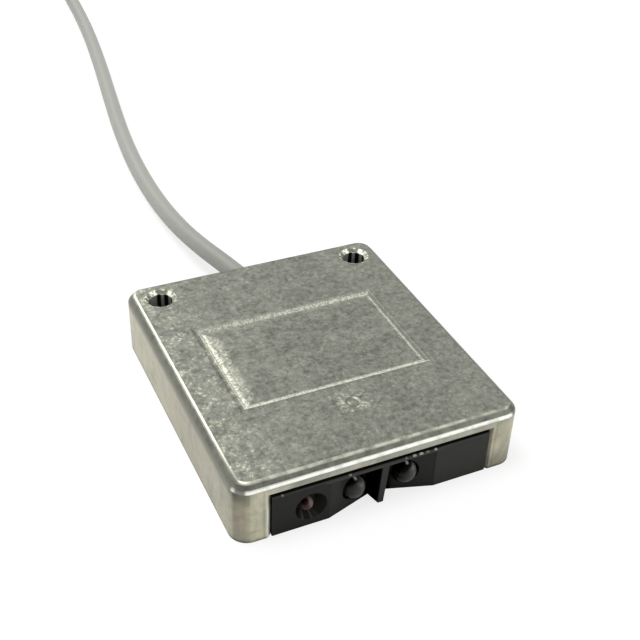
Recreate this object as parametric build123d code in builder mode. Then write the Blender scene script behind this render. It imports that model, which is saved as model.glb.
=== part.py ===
"""Photoelectric yarn sensor: die-cast housing, black optic block, board and cable.

Millimetres, +Z up. The origin is at the middle of the underside. The optics look along -Y
and the cable leaves along +Y.
"""
import os
from math import atan, cos, degrees, pi, radians, sin, tan

from build123d import *

# Housing
width = 65.0
length = 74.0
height = 15.0
wall = 2.4
top_thickness = 2.6
corner_radius = 4.0
inner_corner_radius = 1.8
edge_chamfer = 1.55
upper_softening = 0.8
lower_softening = 1.2
fit_gap = 0.15
cut_past = 0.1

# Label field and ejector mark in the top
field_side = 10.75
field_front = 22.0
field_back = 22.8
field_depth = 0.6
mark_front = 15.5
mark_radius = 1.7
mark_ring_radius = 1.22
mark_depth = 0.22
mark_pip_sink = 0.08

# Mounting bores in the back corners
mount_from_side = 7.0
mount_from_back = 7.0
mount_bore = 5.5
mount_sink = 7.2
mount_sink_angle = 90
mount_boss = 9.0
lug_reach = 6.2

# Window in the front wall and the optic block that fills it
window_side = 7.65
window_lip = 3.3
window_bevel = 0.7
block_top_gap = 1.25
block_edge_chamfer = 0.25
notch_side = 12.7
notch_depth = 3.7
fin_front = (-0.45, 1.05)
fin_foot = (-1.0, 0.2)
fin_root = (-1.95, 1.5)
roof_from_window_top = 1.95
flange_thickness = 3.0
flange_depth_gap = 0.05
shelf_thickness = 1.7
block_depth = 10.8
ear_room = 2.0
ear_thickness = 2.4
ear_width = 6.0
ear_reach = 3.7

# Lamps
lens_offset = 5.9
lens_height = 4.9
lens_radius = 2.5
lens_proud = 2.3
lens_bore_radius = 3.1
lens_bore_depth = 2.4
lamp_length = 8.7
lamp_flange_radius = 2.9
lamp_flange_thickness = 1.0
lamp_clearance = 0.05
lamp_exit = 2.0
barrel_radius = 3.9
indicator_from_window_side = 8.05
indicator_recess_radius = 3.5
indicator_recess_shift = 0.6
indicator_seat_radius = 2.2
indicator_recess_depth = 1.9
indicator_radius = 1.5
indicator_length = 5.3
indicator_barrel_radius = 2.9
leg_radius = 0.25
leg_spacing = 2.54
leg_length = 5.0
indicator_leg_length = 9.0

# Base cover
cover_thickness = 2.0
gasket_thickness = 0.5
gasket_width = 1.0
ledge_width = 1.2
cover_screw_from_side = 5.5
cover_screw_from_front = 19.0
cover_screw_from_back = 22.5
cover_boss_radius = 3.3
cover_hole_depth = 6.5
cover_rib_pitch = 9.0
cover_rib_width = 1.0
cover_rib_length = 28.0
cover_rib_height = 0.8

# Screws
m25_radius = 1.25
m25_head_radius = 2.35
m25_head_height = 1.4
m2_radius = 1.0
m2_head_radius = 1.9
m2_head_height = 1.3
screw_clearance = 0.15
screw_point = 0.45
head_bevel = 0.4
slot_length = 2.4
slot_width = 0.6
socket_depth = 0.8
cover_screw_reach = 6.5
board_screw_reach = 5.8
ear_screw_reach = 5.0
clamp_screw_reach = 4.6

# Board
board_side = 11.0
board_from_back = 22.1
board_thickness = 1.6
board_from_back_of_block = 0.6
board_screw_from_side = 3.3
board_screw_from_front = 5.4
board_screw_from_back = 5.5
board_boss_radius = 2.6
board_hole_depth = 5.0
board_corner = 1.0

# What is on the board: places run from its middle column and its front edge
chip_leg_reach = 1.0
chip_foot_length = 0.6
chip_leg_slope = 0.2
chip_leg_width = 0.42
chip_leg_thickness = 0.2
chip_bevel = 0.15
small_case = (4.9, 3.9, 1.5)
wide_case = (8.7, 3.9, 1.5)
power_case = (6.5, 3.5, 1.6)
case_pitch = 1.27
power_pitch = 2.3
amplifier_place = (-7.0, 10.0)
logic_place = (7.0, 10.0)
regulator_place = (-8.5, 29.0)
transistor_place = (9.0, 29.0)
diode_place = (0.3, 22.0)
diode_case = (4.4, 2.6, 2.1)
diode_tab_length = 5.4
diode_tab_width = 1.5
diode_tab_height = 0.9
diode_bevel = 0.25
can_place = (-15.5, 21.5)
can_radius = 2.5
can_room = 0.45
can_bevel = 0.3
can_foot = 5.2
can_foot_height = 1.0
can_foot_corner = 1.0
tile_length = 2.0
tile_width = 1.25
resistor_height = 0.55
resistor_columns = 5
resistor_rows = 2
resistor_column_pitch = 3.2
resistor_row_pitch = 2.2
resistor_place = (2.8, 16.7)
capacitor_height = 1.1
capacitor_places = [(-14.0, 10.0), (-14.0, 13.0), (13.5, 17.0), (13.5, 21.0), (-8.0, 24.0)]

# Cable and how it is held
cable_radius = 2.5
jacket_end_from_back = 15.0
core_radius = 0.6
core_pitch = 1.3
pad_pitch = 3.6
pad_from_edge = 3.2
core_lift = 0.15
core_straight = 2.2
core_bend = 1.6
solder_radius = 1.1
solder_tip_radius = 0.5
solder_height = 1.2
grommet_room = 0.35
grommet_lip = 0.6
grommet_flange_thickness = 1.2
grommet_collar_length = 3.0
grommet_mouth_lip = 0.8
clamp_from_back = 8.6
clamp_width = 5.0
clamp_thickness = 1.2
clamp_half_length = 8.0
clamp_screw_x = 5.7
clamp_hole_depth = 3.8
ear_hole_depth = 3.2

# Coil of the put-away length, and the cable's bare end
coil_radius = 29.0
coil_rows = 3
coil_columns = 3
coil_edge = 1.0
coil_x = -20.0
coil_from_back = 315.0
tail_start = 90.0
tail_sweep = 70.0
sleeve_length = 6.0
sleeve_thickness = 0.3
sleeve_tip_radius = 1.9
end_wire_length = 16.0
end_wire_straight = 5.6
end_wire_fan = 2.6
# Route of the free cable down to the surface and along it: x, distance from the back, height
cable_route = [
    (-2.0, 12.5, 7.25),
    (-4.6, 25.0, 6.3),
    (-6.1, 41.0, 4.6),
    (-6.3, 60.0, 2.9),
    (-5.6, 82.0, 2.5),
    (-3.2, 107.0, 2.5),
    (1.0, 136.0, 2.5),
    (6.0, 169.0, 2.5),
    (10.5, 205.0, 2.5),
    (13.4, 243.0, 2.5),
    (14.4, 280.0, 2.5),
    (14.0, 315.0, 2.5),
]

# Values that follow from the ones above
front = -length / 2
back = length / 2
ceiling = height - top_thickness
inner_half_width = width / 2 - wall
ledge_height = cover_thickness + gasket_thickness
field_length = length - field_front - field_back
field_width = width - 2 * field_side
window_width = width - 2 * window_side
window_height = height - window_lip
notch_half_width = window_width / 2 - notch_side
indicator_offset = window_width / 2 - indicator_from_window_side
block_front = front + fit_gap / 3
block_half_width = window_width / 2 - fit_gap
block_top = window_height - block_top_gap
notch_angle = degrees(atan(notch_depth / notch_half_width))
lens_back_set = notch_depth * (1 - lens_offset / notch_half_width)
flange_front = front + wall + flange_depth_gap
flange_back = flange_front + flange_thickness
block_back = front + block_depth
roof_underside = window_height - roof_from_window_top
board_bottom = lens_height + leg_radius
board_top = board_bottom + board_thickness
board_front = block_back + board_from_back_of_block
board_back = back - board_from_back
board_length = board_back - board_front
board_width = width - 2 * board_side
can_height = ceiling - board_top - can_room
cover_front = block_back + fit_gap
mount_x = width / 2 - mount_from_side
mount_y = back - mount_from_back
lug_outward = mount_from_side - wall / 2
lug_backward = mount_from_back - wall / 2
mount_points = [(-mount_x, mount_y), (mount_x, mount_y)]
cover_screws = [
    (side * (width / 2 - cover_screw_from_side), y)
    for y in (front + cover_screw_from_front, back - cover_screw_from_back)
    for side in (-1, 1)
]
board_screws = [
    (side * (board_width / 2 - board_screw_from_side), y)
    for y in (board_front + board_screw_from_front, board_back - board_screw_from_back)
    for side in (-1, 1)
]
ear_top = ceiling - ear_room
ear_underside = ear_top - ear_thickness
ear_x = block_half_width - ear_width / 2
ear_y = flange_back + ear_reach
ear_screws = [(-ear_x, ear_y), (ear_x, ear_y)]
cable_height = (ledge_height + ceiling) / 2
clamp_y = back - clamp_from_back
clamp_top = cable_height + cable_radius
clamp_seat = clamp_top - clamp_thickness
clamp_screws = [(-clamp_screw_x, clamp_y), (clamp_screw_x, clamp_y)]
grommet_flange_radius = cable_height - ledge_height - grommet_room
grommet_neck_radius = grommet_flange_radius - grommet_lip
grommet_mouth_radius = cable_radius + grommet_mouth_lip
grommet_end = back + grommet_collar_length
jacket_end = back - jacket_end_from_back
pad_y = board_back - pad_from_edge
core_level = board_top + core_lift + core_radius
coil_y = back + coil_from_back
coil_height = coil_rows * 2 * cable_radius

os.makedirs("parts", exist_ok=True)


def save(part, name):
    """Label a finished piece and write it."""
    part.label = name
    export_step(part, f"parts/{name}.step")


def facing(x, y, z, turn):
    """Return a plane whose Z looks out of the front at (x, y, z), turned about the vertical."""
    out = (sin(radians(turn)), -cos(radians(turn)), 0)
    across = (cos(radians(turn)), sin(radians(turn)), 0)
    return Plane(origin=(x, y, z), x_dir=across, z_dir=out)


def corner_lugs():
    """Return a sketch of the two solid back corners round the mounting bores."""
    with BuildSketch(mode=Mode.PRIVATE) as lugs:
        with Locations(*mount_points):
            Circle(lug_reach)
        for x, y in mount_points:
            outward, inward = (Align.MIN, Align.MAX) if x > 0 else (Align.MAX, Align.MIN)
            with Locations((x, y)):
                Rectangle(lug_outward, lug_backward, align=(outward, Align.MIN))
                Rectangle(lug_reach, lug_backward, align=(inward, Align.MIN))
                Rectangle(lug_outward, lug_reach, align=(outward, Align.MAX))
    return lugs.sketch


def mouth():
    """Return a sketch of the cavity's open underside, behind the optic block."""
    with BuildSketch(mode=Mode.PRIVATE) as outline:
        with Locations((0, block_back)):
            Rectangle(
                2 * inner_half_width, back - wall - block_back, align=(Align.CENTER, Align.MIN)
            )
        add(corner_lugs(), mode=Mode.SUBTRACT)
    return outline.sketch


def cover_outline(gap):
    """Return a sketch of the ledge's pocket, smaller by a gap all round."""
    half = inner_half_width + ledge_width - gap
    with BuildSketch(mode=Mode.PRIVATE) as outline:
        with Locations((0, block_back + gap)):
            Rectangle(
                2 * half, back - wall + ledge_width - block_back - 2 * gap, align=(Align.CENTER, Align.MIN)
            )
        fillet(outline.vertices().group_by(Axis.Y)[-1], inner_corner_radius + ledge_width - gap)
    return outline.sketch


left_lens = facing(-lens_offset, block_front + lens_back_set, lens_height, notch_angle)
right_lens = facing(lens_offset, block_front + lens_back_set, lens_height, -notch_angle)
indicator = facing(-indicator_offset, block_front, lens_height, 0)
indicator_mouth = facing(indicator_recess_shift - indicator_offset, block_front, lens_height, 0)
indicator_seat = indicator.offset(-indicator_recess_depth)

# Housing
with BuildPart() as housing:
    with BuildSketch():
        RectangleRounded(width, length, corner_radius)
    extrude(amount=height)
    top_edges = housing.faces().sort_by(Axis.Z)[-1].edges()
    chamfer(top_edges, edge_chamfer)
    rims = housing.edges().filter_by(lambda e: e.bounding_box().size.Z < 0.01)
    upper_rim, lower_rim = rims.group_by(Axis.Z)[-1], rims.group_by(Axis.Z)[-2]
    fillet(upper_rim, upper_softening)
    fillet(lower_rim, lower_softening)
    with BuildSketch():
        RectangleRounded(2 * inner_half_width, length - 2 * wall, inner_corner_radius)
    extrude(amount=ceiling, mode=Mode.SUBTRACT)
    # Ledge for the base cover
    with BuildSketch():
        add(cover_outline(0))
    extrude(amount=ledge_height, mode=Mode.SUBTRACT)
    # Bosses that hang from the ceiling
    with BuildSketch(Plane.XY.offset(ceiling)):
        with Locations(*board_screws):
            Circle(board_boss_radius)
    extrude(amount=-(ceiling - board_top))
    with BuildSketch(Plane.XY.offset(ceiling)):
        with Locations(*ear_screws):
            Circle(board_boss_radius)
    extrude(amount=-(ceiling - ear_top))
    with BuildSketch(Plane.XY.offset(ceiling)):
        with Locations(*cover_screws):
            Circle(cover_boss_radius)
    extrude(amount=-(ceiling - cover_thickness))
    with BuildSketch(Plane.XY.offset(ledge_height)):
        add(corner_lugs())
    extrude(amount=ceiling - ledge_height)
    with BuildSketch():
        with Locations(*mount_points):
            Circle(mount_boss / 2)
    extrude(amount=ledge_height)
    # Rib that the cable is clamped against
    with BuildSketch(Plane.XY.offset(ceiling)):
        with Locations((0, clamp_y)):
            Rectangle(2 * clamp_half_length, clamp_width)
    extrude(amount=-(ceiling - clamp_top))
    # Window
    with BuildSketch(Plane.XZ.offset(-front)):
        with Locations((0, 0)):
            Rectangle(window_width, window_height, align=(Align.CENTER, Align.MIN))
    extrude(amount=-wall, mode=Mode.SUBTRACT)
    jambs = housing.edges().filter_by(Axis.Z).filter_by(
        lambda e: abs(e.center().Y - front) < 0.01 and abs(abs(e.center().X) - window_width / 2) < 0.01
    )
    chamfer(jambs, window_bevel)
    # Label field with sloping walls
    with BuildSketch(Plane.XY.offset(height - field_depth)):
        with Locations((0, front + field_front + field_length / 2)):
            Rectangle(field_width - 2 * field_depth, field_length - 2 * field_depth)
    extrude(amount=field_depth, taper=-45, mode=Mode.SUBTRACT)
    # Ejector mark: a ring groove round a low pip
    with BuildSketch(Plane(origin=(0, front + mark_front, height), x_dir=(1, 0, 0), z_dir=(0, -1, 0))):
        with BuildLine():
            Polyline(
                (0, cut_past),
                (mark_radius, cut_past),
                (mark_radius, 0),
                (mark_ring_radius, -mark_depth),
                (0, -mark_pip_sink),
                close=True,
            )
        make_face()
    revolve(axis=Axis((0, front + mark_front, 0), (0, 0, 1)), mode=Mode.SUBTRACT)
    # Mounting bores and screw holes
    with Locations(*[(x, y, height) for x, y in mount_points]):
        CounterSinkHole(mount_bore / 2, mount_sink / 2, counter_sink_angle=mount_sink_angle)
    with Locations(*[Location((x, y, cover_thickness), (180, 0, 0)) for x, y in cover_screws]):
        Hole(m25_radius, depth=cover_hole_depth)
    with Locations(*[Location((x, y, board_top), (180, 0, 0)) for x, y in board_screws]):
        Hole(m25_radius, depth=board_hole_depth)
    with Locations(*[Location((x, y, ear_top), (180, 0, 0)) for x, y in ear_screws]):
        Hole(m2_radius, depth=ear_hole_depth)
    with Locations(*[Location((x, y, clamp_top), (180, 0, 0)) for x, y in clamp_screws]):
        Hole(m2_radius, depth=clamp_hole_depth)
    with Locations(Location((0, back, cable_height), (-90, 0, 0))):
        Hole(grommet_neck_radius, depth=wall)
save(housing.part, "housing")

# Optic block
with BuildPart() as optic_block:
    with BuildSketch():
        with Locations((0, block_front)):
            Rectangle(
                2 * block_half_width, flange_front - block_front, align=(Align.CENTER, Align.MIN)
            )
    extrude(amount=block_top)
    chamfer(optic_block.edges().group_by(Axis.Z)[-1].sort_by(Axis.Y)[0], block_edge_chamfer)
    # Flange behind the front wall
    with BuildSketch():
        with Locations((0, (flange_front + flange_back) / 2)):
            Rectangle(2 * (inner_half_width - fit_gap), flange_thickness)
        fillet(vertices().group_by(Axis.Y)[0], inner_corner_radius)
    extrude(amount=ceiling - fit_gap)
    # Shelf that meets the base cover
    with BuildSketch():
        with Locations((0, (flange_back + block_back) / 2)):
            Rectangle(2 * (inner_half_width - fit_gap), block_back - flange_back)
    extrude(amount=shelf_thickness)
    # Notch with its two angled faces, open to the front and below
    with BuildSketch():
        with BuildLine():
            Polyline(
                (-notch_half_width, block_front),
                (notch_half_width, block_front),
                (0, block_front + notch_depth),
                close=True,
            )
        make_face()
    extrude(amount=roof_underside, mode=Mode.SUBTRACT)
    # Fin between the two lenses, wider at its root and narrower at its foot
    for level, (left, right) in ((0, fin_foot), (roof_underside, fin_front)):
        with BuildSketch(Plane.XY.offset(level)):
            with BuildLine():
                Polyline(
                    (left, block_front),
                    (right, block_front),
                    (fin_root[1], block_front + notch_depth),
                    (fin_root[0], block_front + notch_depth),
                    close=True,
                )
            make_face()
    loft()
    # Barrels round the lamps
    with BuildSketch(left_lens.offset(-lens_bore_depth), right_lens.offset(-lens_bore_depth)):
        Circle(barrel_radius)
    extrude(amount=-(lamp_length - lens_proud - lens_bore_depth))
    with BuildSketch(indicator_seat):
        Circle(indicator_barrel_radius)
    extrude(amount=-(indicator_length + indicator_radius))
    # Ears for the two screws
    with BuildSketch(Plane.XY.offset(ear_underside)):
        with Locations(*ear_screws):
            Circle(ear_width / 2)
        for x, y in ear_screws:
            with Locations((x, flange_back)):
                Rectangle(ear_width, y - flange_back, align=(Align.CENTER, Align.MIN))
    extrude(amount=ear_thickness)
    with Locations(*[(x, y, ear_top) for x, y in ear_screws]):
        Hole(m2_radius + screw_clearance, depth=ear_thickness)
    # Lens bores, open to the front, with a lip and a seat for the lamp's flange
    with BuildSketch(left_lens.offset(-lens_bore_depth), right_lens.offset(-lens_bore_depth)):
        Circle(lens_bore_radius)
    extrude(amount=lens_bore_depth + cut_past, mode=Mode.SUBTRACT)
    with BuildSketch(left_lens, right_lens):
        Circle(lens_radius + lamp_clearance)
    extrude(amount=-(lamp_length - lens_proud), mode=Mode.SUBTRACT)
    seat = lamp_length - lens_proud - lamp_flange_thickness
    with BuildSketch(left_lens.offset(-seat), right_lens.offset(-seat)):
        Circle(lamp_flange_radius + lamp_clearance)
    extrude(amount=-(lamp_flange_thickness + lamp_exit), mode=Mode.SUBTRACT)
    # Recess and bore of the indicator
    with BuildSketch(indicator_mouth):
        Circle(indicator_recess_radius)
    with BuildSketch(indicator_seat):
        Circle(indicator_seat_radius)
    loft(mode=Mode.SUBTRACT)
    with BuildSketch(indicator_seat):
        Circle(indicator_radius + lamp_clearance)
    extrude(amount=-(indicator_length + indicator_radius + lamp_exit), mode=Mode.SUBTRACT)
save(optic_block.part, "optic_block")


def lamp(face, proud, radius, total, flange_radius):
    """Return a domed lamp whose tip stands proud of a face, with a flange at its back."""
    with BuildPart() as body:
        with Locations(face.offset(proud - radius).location):
            Sphere(radius)
        with BuildSketch(face.offset(proud - radius)):
            Circle(radius)
        extrude(amount=-(total - radius))
        with BuildSketch(face.offset(proud - total)):
            Circle(flange_radius)
        extrude(amount=lamp_flange_thickness)
    return body.part


def legs(back_face, leg):
    """Return a lamp's two wire legs, which start at its back."""
    with BuildPart() as pair:
        with BuildSketch(back_face):
            with GridLocations(leg_spacing, 0, 2, 1):
                Circle(leg_radius)
        extrude(amount=-leg)
    return pair.part


# Lamps and their legs
lens_back = lens_proud - lamp_length
save(lamp(left_lens, lens_proud, lens_radius, lamp_length, lamp_flange_radius), "emitter_lamp")
save(lamp(right_lens, lens_proud, lens_radius, lamp_length, lamp_flange_radius), "receiver_lamp")
save(
    lamp(indicator, 0, indicator_radius, indicator_length, indicator_radius),
    "indicator_lamp",
)
save(legs(left_lens.offset(lens_back), leg_length), "emitter_leads")
save(legs(right_lens.offset(lens_back), leg_length), "receiver_leads")
save(legs(indicator.offset(-indicator_length), indicator_leg_length), "indicator_leads")


def screw(x, y, seat, radius, head_radius, head_height, reach, sunk=False):
    """Return a screw that points up, its head's upper side at the seat height."""
    with BuildPart() as body:
        with BuildSketch(Plane.XY.offset(seat)):
            with Locations((x, y)):
                Circle(radius)
        extrude(amount=reach)
        chamfer(body.edges().sort_by(Axis.Z)[-1], screw_point)
        with BuildSketch(Plane.XY.offset(seat - head_height)):
            with Locations((x, y)):
                Circle(head_radius)
        if sunk:
            with BuildSketch(Plane.XY.offset(seat)):
                with Locations((x, y)):
                    Circle(radius)
            loft()
        else:
            extrude(amount=head_height)
            chamfer(body.edges().group_by(Axis.Z)[0], head_bevel)
        with BuildSketch(Plane.XY.offset(seat - head_height)):
            with Locations((x, y)):
                Rectangle(slot_length, slot_width)
                Rectangle(slot_width, slot_length)
        extrude(amount=socket_depth, mode=Mode.SUBTRACT)
    return body.part


sink_height = m25_head_radius - m25_radius
for number, (x, y) in enumerate(cover_screws, 1):
    part = screw(x, y, sink_height, m25_radius, m25_head_radius, sink_height, cover_screw_reach, True)
    save(part, f"cover_screw_{number}")
for number, (x, y) in enumerate(board_screws, 1):
    part = screw(x, y, board_bottom, m25_radius, m25_head_radius, m25_head_height, board_screw_reach)
    save(part, f"board_screw_{number}")
for name, (x, y) in zip(("optic_screw_left", "optic_screw_right"), ear_screws):
    save(screw(x, y, ear_underside, m2_radius, m2_head_radius, m2_head_height, ear_screw_reach), name)
for name, (x, y) in zip(("clamp_screw_left", "clamp_screw_right"), clamp_screws):
    save(screw(x, y, clamp_seat, m2_radius, m2_head_radius, m2_head_height, clamp_screw_reach), name)

# Base cover
with BuildPart() as base_cover:
    with BuildSketch():
        add(cover_outline(fit_gap))
        with Locations(*mount_points):
            Circle(mount_boss / 2 + fit_gap, mode=Mode.SUBTRACT)
    extrude(amount=cover_thickness)
    # Low ribs that stiffen the plate
    with BuildSketch(Plane.XY.offset(cover_thickness)):
        with Locations((0, (board_front + board_length / 2))):
            with GridLocations(cover_rib_pitch, 0, 4, 1):
                Rectangle(cover_rib_width, cover_rib_length)
    extrude(amount=cover_rib_height)
    with Locations(*[Location((x, y, 0), (180, 0, 0)) for x, y in cover_screws]):
        CounterSinkHole(m25_radius, m25_head_radius)
save(base_cover.part, "base_cover")

# Gasket on the ledge, along the two sides and round the lugs at the back
with BuildPart() as base_gasket:
    with BuildSketch(Plane.XY.offset(cover_thickness)):
        add(mouth())
        offset(amount=gasket_width, kind=Kind.INTERSECTION)
        add(mouth(), mode=Mode.SUBTRACT)
        with Locations((0, cover_front)):
            Rectangle(width, length, align=(Align.CENTER, Align.MIN), mode=Mode.INTERSECT)
        with Locations(*cover_screws):
            Circle(cover_boss_radius + fit_gap, mode=Mode.SUBTRACT)
    extrude(amount=gasket_thickness)
save(base_gasket.part, "base_gasket")

# Circuit board
with BuildPart() as circuit_board:
    with BuildSketch(Plane.XY.offset(board_bottom)):
        with Locations((0, board_front)):
            Rectangle(board_width, board_length, align=(Align.CENTER, Align.MIN))
        fillet(vertices(), board_corner)
        with Locations(*board_screws):
            Circle(m25_radius + screw_clearance, mode=Mode.SUBTRACT)
    extrude(amount=board_thickness)
save(circuit_board.part, "circuit_board")


def place(point):
    """Return a point of the board, given from its middle column and its front edge."""
    return point[0], board_front + point[1]


def chip(at, case, legs_a_side, pitch):
    """Return a flat chip on the board, its legs bent down and outwards on both long sides."""
    x, y = place(at)
    body_length, body_width, body_height = case
    root = body_width / 4
    tip = body_width / 2 + chip_leg_reach
    heel = tip - chip_foot_length
    upper = board_top + body_height / 2
    lower = upper - chip_leg_thickness
    with BuildPart() as body:
        with BuildSketch(Plane.XY.offset(board_top + chip_leg_thickness / 2)):
            with Locations((x, y)):
                Rectangle(body_length, body_width)
        extrude(amount=body_height)
        chamfer(body.edges().group_by(Axis.Z)[-1], chip_bevel)
        for side in (-1, 1):
            for number in range(legs_a_side):
                along = x + (number - (legs_a_side - 1) / 2) * pitch
                with BuildSketch(Plane.YZ.offset(along - chip_leg_width / 2)):
                    with BuildLine():
                        Polyline(
                            (y + side * root, upper),
                            (y + side * heel, upper),
                            (y + side * (heel + chip_leg_slope), board_top + chip_leg_thickness),
                            (y + side * tip, board_top + chip_leg_thickness),
                            (y + side * tip, board_top),
                            (y + side * heel, board_top),
                            (y + side * (heel - chip_leg_slope), lower),
                            (y + side * root, lower),
                            close=True,
                        )
                    make_face()
                extrude(amount=chip_leg_width)
    return body.part


# Chips in flat cases: place, case, legs on each side and their pitch
save(chip(amplifier_place, small_case, 4, case_pitch), "amplifier_chip")
save(chip(logic_place, wide_case, 7, case_pitch), "logic_chip")
save(chip(regulator_place, power_case, 3, power_pitch), "regulator")
save(chip(transistor_place, power_case, 3, power_pitch), "output_transistor")

# Diode: a low block with a folded tab at each end
with BuildPart() as protection_diode:
    with BuildSketch(Plane.XY.offset(board_top)):
        with Locations(place(diode_place)):
            Rectangle(diode_case[0], diode_case[1])
    extrude(amount=diode_case[2])
    chamfer(protection_diode.edges().group_by(Axis.Z)[-1], diode_bevel)
    with BuildSketch(Plane.XY.offset(board_top)):
        with Locations(place(diode_place)):
            Rectangle(diode_tab_length, diode_tab_width)
    extrude(amount=diode_tab_height)
save(protection_diode.part, "protection_diode")

# Smoothing capacitor: an aluminium can on a square foot
with BuildPart() as smoothing_capacitor:
    with BuildSketch(Plane.XY.offset(board_top)):
        with Locations(place(can_place)):
            Rectangle(can_foot, can_foot)
        chamfer(vertices().group_by(Axis.Y)[0], can_foot_corner)
    extrude(amount=can_foot_height)
    with BuildSketch(Plane.XY.offset(board_top + can_foot_height)):
        with Locations(place(can_place)):
            Circle(can_radius)
    extrude(amount=can_height - can_foot_height)
    chamfer(smoothing_capacitor.edges().group_by(Axis.Z)[-1], can_bevel)
save(smoothing_capacitor.part, "smoothing_capacitor")


# Small two-ended tiles: a grid of resistors and single capacitors
with BuildPart() as chip_resistors:
    with BuildSketch(Plane.XY.offset(board_top)):
        with Locations(place(resistor_place)):
            with GridLocations(
                resistor_column_pitch, resistor_row_pitch, resistor_columns, resistor_rows
            ):
                Rectangle(tile_length, tile_width)
    extrude(amount=resistor_height)
save(chip_resistors.part, "chip_resistors")
with BuildPart() as chip_capacitors:
    with BuildSketch(Plane.XY.offset(board_top)):
        with Locations(*[place(point) for point in capacitor_places]):
            Rectangle(tile_length, tile_width)
    extrude(amount=capacitor_height)
save(chip_capacitors.part, "chip_capacitors")


def tube(points, radii, radius):
    """Return a round bar along straight runs joined by tangent arcs."""
    with BuildPart() as bar:
        with BuildLine() as path:
            if len(points) > 2:
                FilletPolyline(*points, radius=radii)
            else:
                Line(*points)
        spine = path.wires()[0]
        with BuildSketch(Plane(origin=spine @ 0, z_dir=spine % 0)):
            Circle(radius)
        sweep()
    return bar.part, spine.length


# Cores from the jacket's end to their pads
cores = []
for name, column in (("core_brown", -1), ("core_blue", 0), ("core_black", 1)):
    start = (column * core_pitch, jacket_end, core_level)
    end = (column * pad_pitch, pad_y, core_level)
    bends = [
        (column * core_pitch, jacket_end - core_straight, core_level),
        (column * pad_pitch, pad_y + core_straight, core_level),
    ]
    corners = bends if column else []
    core, core_length = tube([start, *corners, end], [core_bend] * len(corners), core_radius)
    cores.append(core)
    save(core, name)

# Solder joints: low cones round the ends of the cores
with BuildPart() as solder_joints:
    with Locations(*[(column * pad_pitch, pad_y, board_top) for column in (-1, 0, 1)]):
        Cone(
            solder_radius,
            solder_tip_radius,
            solder_height,
            align=(Align.CENTER, Align.CENTER, Align.MIN),
        )
    for core in cores:
        add(core, mode=Mode.SUBTRACT)
save(solder_joints.part, "solder_joints")

# Jacket inside the wall, from the grommet's mouth to where the cores leave it
jacket, jacket_length = tube([(0, jacket_end, cable_height), (0, grommet_end, cable_height)], [], cable_radius)
save(jacket, "cable_inside")

# Grommet in the back wall
with BuildPart() as cable_grommet:
    with BuildSketch(Plane.XY.offset(cable_height)):
        with BuildLine():
            Polyline(
                (cable_radius, back - wall - grommet_flange_thickness),
                (grommet_flange_radius, back - wall - grommet_flange_thickness),
                (grommet_flange_radius, back - wall),
                (grommet_neck_radius, back - wall),
                (grommet_neck_radius, back),
                (grommet_flange_radius, back),
                (grommet_mouth_radius, grommet_end),
                (cable_radius, grommet_end),
                close=True,
            )
        make_face()
    revolve(axis=Axis((0, 0, cable_height), (0, 1, 0)))
save(cable_grommet.part, "cable_grommet")

# Clamp strap under the jacket, its ears against the housing's rib
with BuildPart() as cable_clamp:
    with BuildSketch(Plane.XZ.offset(-(clamp_y + clamp_width / 2))):
        with Locations((0, cable_height)):
            Circle(cable_radius + clamp_thickness)
            Rectangle(2 * (cable_radius + clamp_thickness), cable_radius, align=(Align.CENTER, Align.MIN))
        with Locations((0, clamp_top)):
            Rectangle(2 * clamp_half_length, clamp_thickness, align=(Align.CENTER, Align.MAX))
            Rectangle(
                2 * clamp_half_length,
                clamp_thickness,
                align=(Align.CENTER, Align.MIN),
                mode=Mode.SUBTRACT,
            )
        with Locations((0, cable_height)):
            Circle(cable_radius, mode=Mode.SUBTRACT)
            Rectangle(
                2 * cable_radius, cable_radius, align=(Align.CENTER, Align.MIN), mode=Mode.SUBTRACT
            )
    extrude(amount=clamp_width)
    with Locations(*[(x, y, clamp_top) for x, y in clamp_screws]):
        Hole(m2_radius + screw_clearance, depth=clamp_thickness)
save(cable_clamp.part, "cable_clamp")


def corner_radii(points):
    """Return the arc radius at each inner point of a route."""
    radii = []
    for before, here, after in zip(points, points[1:], points[2:]):
        arriving = Vector(*here) - Vector(*before)
        leaving = Vector(*after) - Vector(*here)
        turn = radians(arriving.get_angle(leaving))
        radii.append(0.45 * min(arriving.length, leaving.length) / tan(turn / 2))
    return radii


# Coil of the put-away length: one closed ring
with BuildPart() as cable_coil:
    with BuildSketch(Plane.XZ.offset(-coil_y)):
        with Locations((coil_x + coil_radius, coil_height / 2)):
            Rectangle(coil_columns * 2 * cable_radius, coil_height)
        chamfer(vertices(), coil_edge)
    revolve(axis=Axis((coil_x, coil_y, 0), (0, 0, 1)))
save(cable_coil.part, "cable_coil")

# Free cable from the grommet to the coil, which it meets on its outer face
free_route = [(0, grommet_end, cable_height)]
free_route += [(x, back + away, z) for x, away, z in cable_route]
route_radii = corner_radii(free_route)
print("arc radii", [round(radius, 1) for radius in route_radii])
route_tube, route_length = tube(free_route, route_radii, cable_radius)
print("tube volume", round(route_tube.volume), "section x length", round(pi * cable_radius**2 * route_length))
with BuildPart() as cable:
    add(route_tube)
    add(cable_coil.part, mode=Mode.SUBTRACT)
    add(cable_grommet.part, mode=Mode.SUBTRACT)
    add(jacket, mode=Mode.SUBTRACT)
save(cable.part, "cable")

# Tail on top of the coil
tail_level = coil_height + cable_radius + sleeve_thickness
with BuildPart() as cable_tail:
    with BuildLine(Plane.XY.offset(tail_level)) as tail_path:
        CenterArc((coil_x, coil_y), coil_radius, tail_start, tail_sweep)
    tail_spine = tail_path.wires()[0]
    with BuildSketch(Plane(origin=tail_spine @ 0, z_dir=tail_spine % 0)):
        Circle(cable_radius)
    sweep()
save(cable_tail.part, "cable_tail")

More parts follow.
